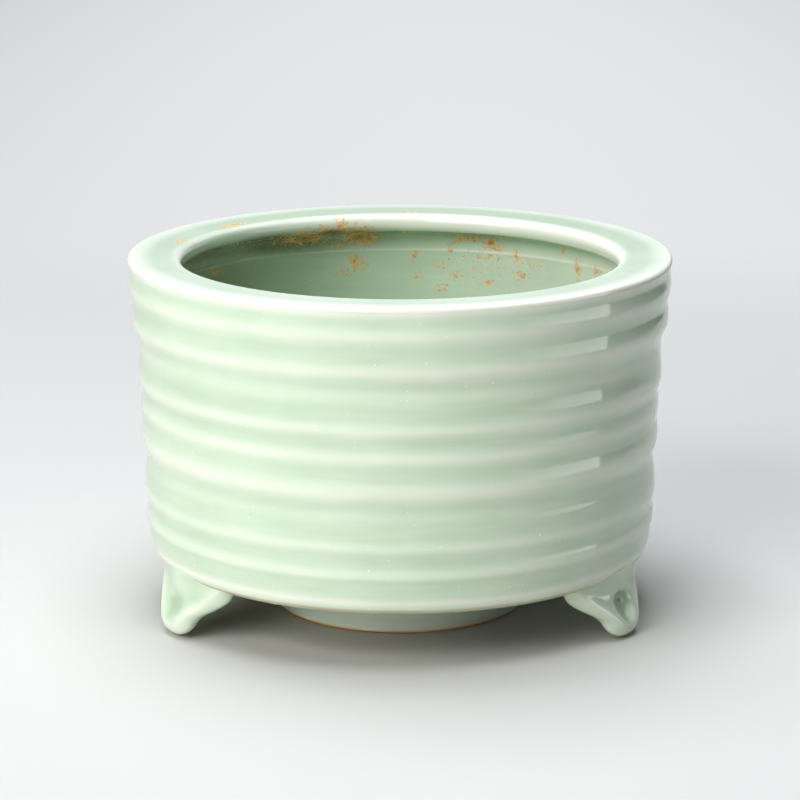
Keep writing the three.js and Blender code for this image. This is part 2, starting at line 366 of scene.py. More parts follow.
def wheelTree():
    tree, given, result = newGroup("turnedOnTheWheel", "GeometryNodeTree", {
        "Profile": "Geometry", "Segments": "Int", "Wobble": "Float", "Wobble Scale": "Float",
        "Seed": "Float", "Glaze": "Material"}, {"Turned": "Geometry"})
    profile = given["Profile"]
    size = addNode(tree, "GeometryNodeAttributeDomainSize", {"Geometry": profile}, component="MESH")
    rowCount = size.outputs["Point Count"]
    grid = addNode(tree, "GeometryNodeMeshGrid", {  # one row of the grid for each point of the profile
        "Size X": 1, "Size Y": 1, "Vertices X": mathNode(tree, "ADD", given["Segments"], 1),
        "Vertices Y": rowCount})
    place = addNode(tree, "GeometryNodeInputPosition").outputs[0]
    onGrid = splitAxes(tree, place)
    share = mathNode(tree, "ADD", onGrid["Y"], 0.5)
    lastRow = mathNode(tree, "SUBTRACT", rowCount, 1)
    row = mathNode(tree, "ROUND", mathNode(tree, "MULTIPLY", share, lastRow))
    angle = mathNode(tree, "MULTIPLY", mathNode(tree, "ADD", onGrid["X"], 0.5), 2 * math.pi)
    sine = mathNode(tree, "SINE", angle)
    cosine = mathNode(tree, "COSINE", angle)

    pooling = addNode(tree, "GeometryNodeInputNamedAttribute", {"Name": "pooling"}, data_type="FLOAT")
    stored = addNode(tree, "GeometryNodeStoreNamedAttribute", data_type="FLOAT", domain="POINT", inputs={
        "Geometry": grid.outputs["Mesh"], "Name": "pooling",
        "Value": sampledAt(tree, profile, pooling.outputs["Attribute"], row, "FLOAT")})
    onProfile = splitAxes(tree, sampledAt(tree, profile, place, row, "FLOAT_VECTOR"))
    radius, height = onProfile["X"], onProfile["Z"]
    offset = unevenOffset(tree, given, radius, height, sine, cosine)
    turnedRadius = mathNode(tree, "ADD", radius, offset)
    turned = joinedAxes(tree, mathNode(tree, "MULTIPLY", turnedRadius, cosine),
                        mathNode(tree, "MULTIPLY", turnedRadius, sine), height)
    moved = addNode(tree, "GeometryNodeSetPosition", {
        "Geometry": stored.outputs["Geometry"], "Position": turned})
    merged = addNode(tree, "GeometryNodeMergeByDistance", {
        "Geometry": moved.outputs["Geometry"], "Distance": wheelSizes["mergeDistance"] * mm})

    soft = addNode(tree, "GeometryNodeSetShadeSmooth", {"Geometry": merged.outputs["Geometry"]},
                   domain="FACE")
    fold = addNode(tree, "GeometryNodeInputMeshEdgeAngle").outputs["Unsigned Angle"]
    crisp = addNode(tree, "GeometryNodeSetShadeSmooth", domain="EDGE", inputs={
        "Geometry": soft.outputs["Geometry"], "Shade Smooth": False,
        "Selection": mathNode(tree, "GREATER_THAN", fold, math.radians(wheelSizes["crispFold"]))})
    real = addNode(tree, "GeometryNodeRealizeInstances", {"Geometry": crisp.outputs["Geometry"]})
    glazed = addNode(tree, "GeometryNodeSetMaterial", {
        "Geometry": real.outputs["Geometry"], "Material": given["Glaze"]})
    tree.links.new(glazed.outputs["Geometry"], result["Turned"])
    return tree


def meshObject(name, vertices, faces, edges=()):
    mesh = bpy.data.meshes.new(name)
    mesh.from_pydata(vertices, list(edges), faces)
    mesh.update()
    piece = bpy.data.objects.new(name, mesh)
    bpy.context.scene.collection.objects.link(piece)
    return piece


def storeValues(mesh, name, values):
    mesh.attributes.new(name, "FLOAT", "POINT").data.foreach_set("value", values)


def applied(piece, name):  # the evaluated mesh as a plain object, with no modifier left on it
    depsgraph = bpy.context.evaluated_depsgraph_get()
    mesh = bpy.data.meshes.new_from_object(piece.evaluated_get(depsgraph), depsgraph=depsgraph)
    mesh.name = name
    result = bpy.data.objects.new(name, mesh)
    bpy.context.scene.collection.objects.link(result)
    bpy.data.objects.remove(piece)
    return result


def turnedPiece(name, rows, material, tree):
    edges = [(k, k + 1) for k in range(len(rows) - 1)]
    profile = meshObject(name + "Profile", [(r * mm, 0, h * mm) for r, h, _ in rows], [], edges)
    storeValues(profile.data, "pooling", [row[2] for row in rows])
    modifier = profile.modifiers.new("wheel", "NODES")
    modifier.node_group = tree
    values = {
        "Segments": wheelSizes["segments"],
        "Wobble": wheelSizes["wobble"] * mm,
        "Wobble Scale": wheelSizes["wobbleScale"],
        "Seed": wheelSizes["seed"],
        "Glaze": material,
    }
    for item in tree.interface.items_tree:
        if item.in_out == "INPUT" and item.name in values:
            modifier[item.identifier] = values[item.name]
    return applied(profile, name)


# Feet: level sections stacked from the tip up, each with its own width and relief.

footForm = {
    "tipClearance": 0.3,
    "tipRadius": 78.6,
    "tipHeight": 6.4,
    "tipHalfWidth": 8.8,
    "taperStart": 1.0,
    "taperEnd": 15.0,
    "lobeReach": 10.8,
    "lobeStart": 5.0,
    "lobeFull": 14.0,
    "flareReach": 5.2,
    "flareStart": 12.0,
    "flareEnd": 18.8,
    "top": 19.6,
    "topRadius": 74.3,
    "thickness": 7.2,
    "sideFall": 2.6,
    "roundness": 0.8,
    "hollowDepth": 1.7,
    "hollowHalfWidth": 4.0,
    "hollowHalfHeight": 3.7,
    "hollowHeight": 9.4,
    "hollowCrispness": 1.0,
    "hollowSpread": (0.72, 1.12),  # the hollow is pointed below and broad above
    "stemRelief": 0.4,
    "stemHalfWidth": 2.0,
    "stemStart": 0.3,
    "rollRise": 1.1,
    "rollHalfHeight": 2.2,
    "rollInner": 8.8,
    "rollSlope": 0.78,
    "dishDepth": 0.35,
    "dishOffset": 8.0,
    "dishHalfWidth": 4.0,
    "glazeDepth": 0.56,
    "reliefThinning": 0.36,
    # a painted highlight: paler glaze round the tip's bulb
    "tipHighlightHeight": 2.2,
    "tipHighlightHalfHeight": 2.4,
    "tipHighlightPaling": 0.3,
    "tipPooling": 0.3,
    "topPooling": 0.4,
    "pointCount": 128,
    "tipLevels": 14,
    "levelSpacing": 0.2,
}
footVariations = {  # the feet were cut and pressed one by one; angle says where each one stands
    "footBack": {"angle": 90},
    "footFrontLeft": {"angle": 210, "hollowHeight": 8.7, "hollowHalfWidth": 4.5, "stemRelief": 0.15},
    "footFrontRight": {"angle": 329, "hollowHeight": 8.7, "hollowHalfWidth": 4.3, "stemRelief": 0.1,
                       "hollowHalfHeight": 4.2, "hollowDepth": 2.6, "hollowCrispness": 2.6,
                       "dishDepth": 0.25, "tipRadius": 79.3},
}


def tipFullness(form, height):
    t = clamped((height - form["tipClearance"]) / (form["tipHeight"] - form["tipClearance"]))
    return math.sqrt(1 - (1 - t) ** 2)


def footHalfWidth(form, height):
    lobe = form["lobeReach"] * smooth((height - form["lobeStart"]) / (form["lobeFull"] - form["lobeStart"]))
    flareShare = (height - form["flareStart"]) / (form["flareEnd"] - form["flareStart"])
    flare = form["flareReach"] * max(0, flareShare) ** 2
    return form["tipHalfWidth"] * tipFullness(form, height) + lobe + flare


def footRelief(form, side, height):
    rise = (height - form["hollowHeight"]) / form["hollowHalfHeight"]
    narrowing = mix(*form["hollowSpread"], smooth(0.5 + rise / 2))
    far = math.hypot(side / (form["hollowHalfWidth"] * narrowing), rise)
    hollow = form["hollowDepth"] * swell(far ** form["hollowCrispness"])
    above = smooth(rise - form["stemStart"])
    stem = form["stemRelief"] * swell(side / form["stemHalfWidth"]) * above
    outwards = abs(side) - form["rollInner"]
    crest = form["hollowHeight"] + outwards * form["rollSlope"]
    roll = (form["rollRise"] * swell((height - crest) / form["rollHalfHeight"])
            * smooth(outwards / form["rollInner"] + 1))
    dish = form["dishDepth"] * swell((abs(side) - form["dishOffset"]) / form["dishHalfWidth"]) * above
    return stem + roll - hollow - dish


def footSection(form, height):
    face = mix(form["tipRadius"], form["topRadius"],
               smooth((height - form["taperStart"]) / (form["taperEnd"] - form["taperStart"])))
    fullness = tipFullness(form, height)
    halfWidth = footHalfWidth(form, height)
    fullHalfWidth = form["tipHalfWidth"] + form["lobeReach"] + form["flareReach"]
    # painted highlight: the glaze is paler round the tip
    tipHighlight = form["tipHighlightPaling"] * swell((height - form["tipHighlightHeight"]) / form["tipHighlightHalfHeight"])
    points = []
    for i in range(form["pointCount"]):
        angle = 2 * math.pi * i / form["pointCount"]
        side = -halfWidth * math.cos(angle)
        bulge = math.copysign(abs(math.sin(angle)) ** form["roundness"], math.sin(angle))
        relief = footRelief(form, side, height) * max(0, bulge)
        middle = face - form["thickness"] / 2 - form["sideFall"] * (side / fullHalfWidth) ** 2
        radius = middle + (form["thickness"] / 2 * bulge + relief) * fullness
        turn = side / form["topRadius"]
        pooling = clamped(form["glazeDepth"] - form["reliefThinning"] * relief - tipHighlight)
        points.append((radius * math.cos(turn), radius * math.sin(turn), height, pooling))
    return points


def cloudFoot(name, material):
    form = {**footForm, **footVariations[name]}
    tipLevels, count = form["tipLevels"], form["pointCount"]
    heights = [mix(form["tipClearance"], form["tipHeight"], 1 - math.cos(math.pi / 2 * k / tipLevels))
               for k in range(1, tipLevels + 1)]
    upper = round((form["top"] - form["tipHeight"]) / form["levelSpacing"])
    heights += [mix(form["tipHeight"], form["top"], k / upper) for k in range(1, upper + 1)]
    points = [point for height in heights for point in footSection(form, height)]
    tip, top = len(points), len(points) + 1
    points.append((form["tipRadius"] - form["thickness"] / 2, 0, form["tipClearance"], form["tipPooling"]))
    points.append((form["topRadius"] - form["thickness"] / 2, 0, form["top"], form["topPooling"]))
    lastRow = (len(heights) - 1) * count
    faces = []
    for i in range(count):
        j = (i + 1) % count
        for low in range(0, lastRow, count):
            faces.append((low + i, low + j, low + count + j, low + count + i))
        faces.append((tip, j, i))
        faces.append((top, lastRow + i, lastRow + j))
    turn = math.radians(form["angle"])
    cosine, sine = math.cos(turn) * mm, math.sin(turn) * mm
    vertices = [(x * cosine - y * sine, x * sine + y * cosine, z * mm) for x, y, z, _ in points]
    foot = meshObject(name, vertices, faces)
    storeValues(foot.data, "pooling", [point[3] for point in points])
    foot.data.materials.append(material)
    foot.data.shade_smooth()
    return foot


# Small builders for materials.

def emptyMaterial(name):
    material = bpy.data.materials.new(name)
    material.use_nodes = True
    material.node_tree.nodes.clear()
    return material


def surfaceOutput(tree, shader):
    addNode(tree, "ShaderNodeOutputMaterial", {"Surface": shader.outputs[0]})


def blended(tree, factor, base, colour):
    return addNode(tree, "ShaderNodeMix", {0: factor, 6: base, 7: colour},
                   data_type="RGBA", clamp_factor=True).outputs[2]


def noiseAt(tree, place, settings):
    return addNode(tree, "ShaderNodeTexNoise", {"Vector": place, **settings}).outputs[0]


def attributeOf(tree, name):
    return addNode(tree, "ShaderNodeAttribute", attribute_name=name).outputs["Fac"]


def faded(tree, value, start, end):
    return addNode(tree, "ShaderNodeMapRange", {"Value": value, "From Min": start, "From Max": end},
                   interpolation_type="SMOOTHSTEP").outputs["Result"]


# The glaze: its colour follows its depth, with clouds and faint throwing rings in it.

glazeLook = {
    "thin": (0.785, 0.795, 0.69, 1),
    "body": (0.56, 0.67, 0.515, 1),
    "deep": (0.36, 0.48, 0.32, 1),
    "clouds": {"Scale": 45.0, "Detail": 3.0},
    "cloudSwing": 0.3,
    "rings": {"Scale": 420.0, "Detail": 2.0},
    "ringStretch": (0.12, 0.12, 1.0),
    "ringSwing": 0.22,
    "peel": {"Scale": 260.0, "Detail": 1.0},
    "peelShare": 0.35,
    "roughness": 0.05,
    "roughnessSwing": 0.05,
    "bump": 0.35,
    "bumpHeight": 0.06,
    "refraction": 1.5,
}
pinholeLook = {
    "colour": (0.93, 0.94, 0.86, 1),
    "strength": 0.65,
    "smallest": 0.4,
    "fine": {"Cells": 560.0, "Size": 0.085, "Share": 0.3},
    "coarse": {"Cells": 110.0, "Size": 0.032, "Share": 0.3},
}


def depthGroup():
    look = glazeLook
    tree, given, result = newGroup("celadonDepth", "ShaderNodeTree", {
        "Position": "Vector", "Pooling": "Float", "Thin": "Color", "Body": "Color", "Deep": "Color"}, {
        "Colour": "Color", "Roughness": "Float", "Height": "Float"})
    clouds = noiseAt(tree, given["Position"], look["clouds"])
    stretched = addNode(tree, "ShaderNodeMapping", {
        "Vector": given["Position"], "Scale": look["ringStretch"]}, vector_type="POINT")
    rings = noiseAt(tree, stretched.outputs[0], look["rings"])
    drift = mathNode(tree, "MULTIPLY", mathNode(tree, "SUBTRACT", clouds, 0.5), look["cloudSwing"])
    ringing = mathNode(tree, "MULTIPLY", mathNode(tree, "SUBTRACT", rings, 0.5), look["ringSwing"])
    depth = mathNode(tree, "ADD", given["Pooling"], mathNode(tree, "ADD", drift, ringing))
    lower = mathNode(tree, "MULTIPLY", depth, 2.0)
    upper = mathNode(tree, "SUBTRACT", lower, 1.0)
    colour = blended(tree, lower, given["Thin"], given["Body"])
    colour = blended(tree, upper, colour, given["Deep"])
    peel = mathNode(tree, "MULTIPLY", noiseAt(tree, given["Position"], look["peel"]), look["peelShare"])
    feed(tree, result["Colour"], colour)
    feed(tree, result["Roughness"],
         mathNode(tree, "MULTIPLY_ADD", clouds, look["roughnessSwing"], look["roughness"]))
    feed(tree, result["Height"], mathNode(tree, "ADD", peel, rings))
    return tree


def pinholeGroup():
    tree, given, result = newGroup("pinholes", "ShaderNodeTree", {
        "Position": "Vector", "Cells": "Float", "Size": "Float", "Share": "Float"}, {"Mask": "Float"})
    cells = addNode(tree, "ShaderNodeTexVoronoi", {"Vector": given["Position"], "Scale": given["Cells"]})
    pick = addNode(tree, "ShaderNodeSeparateColor", {0: cells.outputs["Color"]}).outputs
    chosen = mathNode(tree, "LESS_THAN", pick[0], given["Share"])
    spread = mathNode(tree, "ADD", pick[1], pinholeLook["smallest"])
    size = mathNode(tree, "MULTIPLY", given["Size"], spread)
    near = mathNode(tree, "LESS_THAN", cells.outputs["Distance"], size)
    feed(tree, result["Mask"], mathNode(tree, "MULTIPLY", chosen, near))
    return tree


def glazedMaterial(name, groups, finish=None):  # finish adds what lies on the glaze or takes its place
    material = emptyMaterial(name)
    tree = material.node_tree
    place = addNode(tree, "ShaderNodeTexCoord").outputs["Object"]
    glaze = addNode(tree, "ShaderNodeGroup", node_tree=groups["depth"], inputs={
        "Position": place, "Pooling": attributeOf(tree, "pooling"),
        "Thin": glazeLook["thin"], "Body": glazeLook["body"], "Deep": glazeLook["deep"]}).outputs
    fine, coarse = (addNode(tree, "ShaderNodeGroup", {"Position": place, **pinholeLook[size]},
                            node_tree=groups["pinholes"]).outputs["Mask"] for size in ("fine", "coarse"))
    flecks = mathNode(tree, "MULTIPLY", mathNode(tree, "MAXIMUM", fine, coarse), pinholeLook["strength"])
    surface = {
        "colour": blended(tree, flecks, glaze["Colour"], pinholeLook["colour"]),
        "roughness": glaze["Roughness"],
        "height": glaze["Height"],
    }
    if finish:
        finish(tree, place, surface)
    bump = addNode(tree, "ShaderNodeBump", {
        "Strength": glazeLook["bump"], "Distance": glazeLook["bumpHeight"] * mm,
        "Height": surface["height"]})
    surfaceOutput(tree, addNode(tree, "ShaderNodeBsdfPrincipled", {
        "Base Color": surface["colour"], "Roughness": surface["roughness"],
        "IOR": glazeLook["refraction"], "Normal": bump.outputs[0]}))
    return material


# The rim and wall: smoke stains that are partly painted shade on the left inside, and incense residue burnt
# on in crumbs.

residueLook = {
    # the smoke colour is partly real smoke stain, partly painted shade on the left inside
    "smokeAndShade": (0.065, 0.05, 0.022, 1),
    "crust": (0.17, 0.085, 0.025, 1),
    "rust": (0.54, 0.25, 0.055, 1),
    "paleRust": (0.86, 0.48, 0.15, 1),
    "grit": {"Scale": 800.0, "Detail": 4.0, "Roughness": 0.6, "Distortion": 1.2},
    "tint": {"Scale": 750.0, "Detail": 2.0},
    "smokeAndShadeBase": 0.5,
    "crumbs": (2.6, -1.66),  # crumbs, paleness and burning each have a contrast and an offset
    "crumbEdge": 3.2,
    "spotEdge": 8.0,
    "cover": 0.9,
    "paleness": (4.0, -1.4),
    "burning": (3.0, -2.1),
    "roughness": 0.5,
    "relief": 1.5,
}


def residueSmokeAndShade(tree, place, surface):
    look = residueLook
    residue = attributeOf(tree, "residue")
    grit = noiseAt(tree, place, look["grit"])
    # partly real smoke stain, partly painted shade on the left inside
    smokedAndShaded = mathNode(tree, "MULTIPLY", attributeOf(tree, "smokeAndShade"),
                      mathNode(tree, "ADD", grit, look["smokeAndShadeBase"]))
    colour = blended(tree, limited(tree, smokedAndShaded), surface["colour"], look["smokeAndShade"])
    crumbs = mathNode(tree, "ADD", mathNode(tree, "MULTIPLY_ADD", grit, *look["crumbs"]), residue)
    crumbs = limited(tree, mathNode(tree, "MULTIPLY", crumbs, look["crumbEdge"]))
    spots = limited(tree, mathNode(tree, "MULTIPLY", residue, look["spotEdge"]))
    mask = mathNode(tree, "MULTIPLY", mathNode(tree, "MULTIPLY", crumbs, spots), look["cover"])
    tint = noiseAt(tree, place, look["tint"])
    paleness = limited(tree, mathNode(tree, "MULTIPLY_ADD", tint, *look["paleness"]))
    burning = limited(tree, mathNode(tree, "MULTIPLY_ADD", residue, *look["burning"]))
    rust = blended(tree, paleness, look["rust"], look["paleRust"])
    rust = blended(tree, burning, rust, look["crust"])
    surface["colour"] = blended(tree, mask, colour, rust)
    surface["roughness"] = mathNode(tree, "MULTIPLY_ADD", mask, look["roughness"], surface["roughness"])
    surface["height"] = mathNode(tree, "MULTIPLY_ADD", mask, look["relief"], surface["height"])


# The slab: a thin brown line round its lower edge, and a dark underside that is painted shade, keeping the
# floor under the body dark.

slabLook = {
    "line": (0.50, 0.35, 0.17, 1),
    "lineRise": 1.35,
    "lineHalfWidth": 0.85,
    "patches": {"Scale": 90.0, "Detail": 2.0},
    "patchBase": 0.2,
    # the underside colour is painted shade, dark to keep the floor beneath the body in shadow
    "underside": (0.11, 0.085, 0.055, 1),
    "undersideDrop": 0.2,
    "undersideFade": 0.8,
    "undersideShadeCover": 0.8,
}


def brownEdgeAndShade(tree, place, surface):
    look, edgeHeight = slabLook, slabForm["edgeHeight"]
    height = splitAxes(tree, place)["Z"]
    away = mathNode(tree, "SUBTRACT", height, (edgeHeight + look["lineRise"]) * mm)
    near = mathNode(tree, "MULTIPLY_ADD", mathNode(tree, "ABSOLUTE", away),
                    -1 / (look["lineHalfWidth"] * mm), 1.0)
    patches = mathNode(tree, "ADD", noiseAt(tree, place, look["patches"]), look["patchBase"])
    line = mathNode(tree, "MULTIPLY", limited(tree, near), patches)
    # below the lower edge the colour goes dark: painted shade
    below = mathNode(tree, "SUBTRACT", (edgeHeight - look["undersideDrop"]) * mm, height)
    below = limited(tree, mathNode(tree, "MULTIPLY", below, 1 / (look["undersideFade"] * mm)))
    colour = blended(tree, line, surface["colour"], look["line"])
    surface["colour"] = blended(tree, mathNode(tree, "MULTIPLY", below, look["undersideShadeCover"]), colour,
                                look["underside"])


# The foot ring: bare clay below an uneven line where the glaze was wiped off.

ringLook = {
    "clay": (0.60, 0.35, 0.14, 1),
    "paleClay": (0.86, 0.62, 0.33, 1),
    "patches": {"Scale": 120.0, "Detail": 3.0},
    "lineHeight": 0.95,
    "lineSwing": 1.6,
    "lineSoftness": 0.25,
    "roughness": 0.6,
}


def bareClay(tree, place, surface):
    look = ringLook
    patches = noiseAt(tree, place, look["patches"])
    line = mathNode(tree, "MULTIPLY_ADD", patches, look["lineSwing"] * mm,
                    (look["lineHeight"] - look["lineSwing"] / 2) * mm)
    below = mathNode(tree, "SUBTRACT", line, splitAxes(tree, place)["Z"])
    bare = limited(tree, mathNode(tree, "MULTIPLY", below, 1 / (look["lineSoftness"] * mm)))
    clay = blended(tree, patches, look["clay"], look["paleClay"])
    surface["colour"] = blended(tree, bare, surface["colour"], clay)
    surface["roughness"] = mathNode(tree, "MULTIPLY_ADD", bare, look["roughness"], surface["roughness"])


# Residue of incense round the mouth: (angle from the back, radius, height, half width, half height,
# strength). It is burnt on thickest under the back of the lip, with crumbs scattered down the inside.

residueSpots = [
    # under the lip and behind it
    (-27, 65.5, 99.6, 7.0, 1.6, 0.85), (-19, 65.5, 99.8, 6.5, 2.2, 1.1), (-12, 66.0, 99.6, 5.5, 2.4, 1.0),
    (-24, 73.0, 97.0, 8.0, 1.6, 0.9), (-7, 67.0, 99.0, 3.5, 2.4, 0.85), (-10, 73.2, 96.6, 5.5, 2.2, 0.9),
    (-44, 66.0, 99.2, 16.0, 1.1, 0.72), (-66, 66.0, 99.4, 10.0, 1.0, 0.6),
    (37, 67.5, 98.8, 3.0, 0.9, 0.7), (43.5, 67.5, 98.9, 2.0, 0.8, 0.7),
    # on the lip and the rim's top
    (-16.5, 64.2, 102.6, 1.6, 1.6, 0.85), (-22.5, 64.2, 101.8, 1.2, 0.9, 0.75),
    (-48, 68.6, 105.2, 3.6, 1.4, 0.95), (-51.5, 68.8, 105.2, 2.4, 1.0, 0.8),
    (-75, 68.2, 105.1, 3.4, 1.2, 0.75), (-73, 65.0, 103.4, 2.0, 1.0, 0.6),
    (3.3, 67.6, 105.1, 2.4, 0.9, 0.85),
    # crumbs on the collar and down the wall
    (-15.6, 73.5, 93.9, 1.4, 1.2, 0.75), (-11.4, 73.2, 88.4, 1.8, 2.8, 0.8),
    (-9.0, 73.2, 87.6, 1.2, 1.8, 0.62), (-15, 73.0, 85.2, 2.6, 0.9, 0.7),
    (15, 73.5, 96.4, 2.2, 1.4, 0.82), (18.5, 73.5, 96.8, 2.4, 1.3, 0.82),
    (13, 73.5, 93.6, 1.2, 2.2, 0.66), (23, 73.5, 95.4, 1.8, 1.7, 0.95),
    (25.2, 73.5, 93.6, 1.4, 1.2, 0.7), (26.5, 73.0, 97.2, 1.5, 0.9, 0.7),
    (30, 73.4, 91.6, 1.2, 1.9, 0.8), (22, 73.2, 90.8, 1.3, 1.0, 0.75),
    (44, 73.5, 95.8, 1.4, 1.2, 0.66), (48.6, 73.2, 91.0, 1.1, 2.6, 0.85),
    (55.8, 73.2, 91.6, 1.8, 1.2, 0.66), (2.5, 72.0, 97.4, 2.4, 0.9, 0.75),
    (3.7, 73.4, 90.8, 1.3, 1.0, 0.72), (10.3, 73.2, 87.2, 1.9, 1.2, 0.66),
    (14.3, 73.0, 84.6, 1.5, 1.7, 0.7), (10.3, 72.6, 79.8, 1.5, 1.6, 0.7),
    (4.1, 73.0, 83.6, 1.5, 1.2, 0.6), (22.3, 72.8, 82.4, 2.4, 1.4, 0.6),
    (31.5, 73.0, 86.0, 2.4, 1.4, 0.6), (34.5, 73.3, 90.4, 1.3, 1.0, 0.64),
    (-50.6, 73.3, 90.6, 3.0, 1.4, 0.6), (20, 72.6, 90.0, 18.0, 6.0, 0.22),
]
smokeAndShadeSpots = [  # dark brown: partly real smoke stains under the lip, partly painted shade on the shaded left of the inside
    (-60, 72.5, 96.5, 30.0, 3.6, 0.8), (-30, 72.5, 96.5, 24.0, 4.0, 0.8),
    (-10, 72.5, 96.5, 9.0, 3.0, 0.5), (-68, 72.0, 84.0, 36.0, 16.0, 0.7),
    (-88, 72.5, 94.0, 18.0, 8.0, 0.75), (20, 72.5, 97.0, 10.0, 1.4, 0.35),
    (-66, 65.2, 99.8, 24.0, 2.0, 0.95), (-40, 65.2, 99.8, 20.0, 2.0, 0.95),
    (-18, 65.2, 99.8, 12.0, 1.9, 0.8),
]
stainLimits = {
    "residueSpread": 1.35,
    "topDepth": 1.0,  # what lies this close under the lip's top counts as the rim's top
    "behindBore": 0.5,
}
shadeLean = {  # painted shade: the glaze colour is deeper and darker towards the back on the rim's top, and towards the left inside
    "rimTop": 0.28,
    "inside": -0.45,
}


def stainAt(spots, angle, radius, height, spread=1.0):
    total = 0.0
    for spotAngle, spotRadius, spotHeight, halfWidth, halfHeight, strength in spots:
        across = math.radians(angle - spotAngle) * spotRadius / halfWidth
        along = math.hypot(radius - spotRadius, height - spotHeight) / halfHeight
        total = max(total, strength * swell(math.hypot(across, along) / spread))
    return total


def addResidue(piece):
    mesh = piece.data
    residue, smokeAndShade = [], []
    pooling = mesh.attributes["pooling"].data
    for k, vertex in enumerate(mesh.vertices):
        x, y, z = vertex.co / mm
        angle = math.degrees(math.atan2(x, y))
        radius = math.hypot(x, y)
        onTop = z > rimForm["lipTop"] - stainLimits["topDepth"]
        inside = not onTop and radius < wallForm["boreAtCollar"] + stainLimits["behindBore"]
        spread = stainLimits["residueSpread"]
        residue.append(stainAt(residueSpots, angle, radius, z, spread) if onTop or inside else 0.0)
        smokeAndShade.append(stainAt(smokeAndShadeSpots, angle, radius, z) if inside else 0.0)
        # painted shade: deeper, darker glaze towards the back of the rim's top and the left of the inside
        if onTop:
            pooling[k].value += shadeLean["rimTop"] * y / radius
        elif inside:
            pooling[k].value += shadeLean["inside"] * x / radius
    storeValues(mesh, "residue", residue)
    storeValues(mesh, "smokeAndShade", smokeAndShade)


groups = {"depth": depthGroup(), "pinholes": pinholeGroup()}
bodyGlaze = glazedMaterial("bodyGlaze", groups)
rimGlaze = glazedMaterial("rimGlaze", groups, residueSmokeAndShade)
slabGlaze = glazedMaterial("slabGlaze", groups, brownEdgeAndShade)
ringFinish = glazedMaterial("ringFinish", groups, bareClay)
print("materials made")

wheel = wheelTree()
collar = turnedPiece("rimCollar", collarRows(), rimGlaze, wheel)
wall = turnedPiece("ribbedWall", wallRows(), rimGlaze, wheel)
slab = turnedPiece("baseSlab", slabRows(), slabGlaze, wheel)
ring = turnedPiece("footRing", ringRows(), ringFinish, wheel)
addResidue(collar)
addResidue(wall)
for piece, node, slot in ((collar, "rim_collar", "glaze"), (wall, "ribbed_wall", "glaze"),
                          (slab, "base_slab", "glaze"), (ring, "foot_ring", "bare_clay")):
    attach(piece, "root")
    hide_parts(node)
print("turned pieces made")

for name, node in (("footBack", "foot_back"), ("footFrontLeft", "foot_front_left"),
                   ("footFrontRight", "foot_front_right")):
    foot = cloudFoot(name, bodyGlaze)
    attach(foot, "root")
    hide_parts(node)
print("feet made")

# Stage: pale paper, soft light and the camera. Its sizes are metres, the lens and sensor apart.

stageSetup = {
    "cameraDistance": 0.918,
    "cameraHeight": 0.2834,
    "cameraPitch": 13.63,
    "lens": 142.9,
    "sensorWidth": 36,
    "floorHalf": 8.0,
    "floorDrop": 0.0002,
    "floorColour": (0.62, 0.612, 0.589, 1),
    "nearShadeColour": (0.59, 0.57, 0.51, 1),  # painted shade: the paper is darker and warmer close round the foot
    "nearStart": 0.035,
    "nearEnd": 0.10,
    "farColour": (0.80, 0.81, 0.83, 1),  # further off it glows by itself, and shadows fade out
    "fadeStart": 0.30,
    "fadeEnd": 0.62,
    "falloffCentre": (0.04, 0.5, 0),
    "falloffScale": (2.4, 0.4, 0),
    "falloff": 0.2,
    "paperEdge": 0.39,  # the gloss sees the dark room beyond the paper on the right
    "paperEdgeHalf": 0.06,
    "roomDarkness": 0.92,
    "ambient": 0.035,
    "backdropStart": 0.3,  # from here to ceilingFull, these are parts of the view direction
    "backdropFull": 0.7,
    "backdropTop": 0.8,
    "backdropTopFull": 0.4,
    "ceilingStart": 0.5,
    "ceilingFull": 0.95,
    "ceilingGlow": 4.5,
    "lightDistance": 1.5,
    "lightAim": 0.05,
}


def makeCamera():
    data = bpy.data.cameras.new("camera")
    data.lens = stageSetup["lens"]
    data.sensor_width = stageSetup["sensorWidth"]
    camera = bpy.data.objects.new("camera", data)
    camera.location = (0, -stageSetup["cameraDistance"], stageSetup["cameraHeight"])
    camera.rotation_euler = (math.radians(90 - stageSetup["cameraPitch"]), 0, 0)
    bpy.context.scene.collection.objects.link(camera)
    bpy.context.scene.camera = camera


def vectorNode(tree, operation, *values):
    return addNode(tree, "ShaderNodeVectorMath", dict(enumerate(values)), operation=operation).outputs


def seenOrGlossy(tree, ray):
    return mathNode(tree, "MAXIMUM", ray["Is Camera Ray"], ray["Is Glossy Ray"])


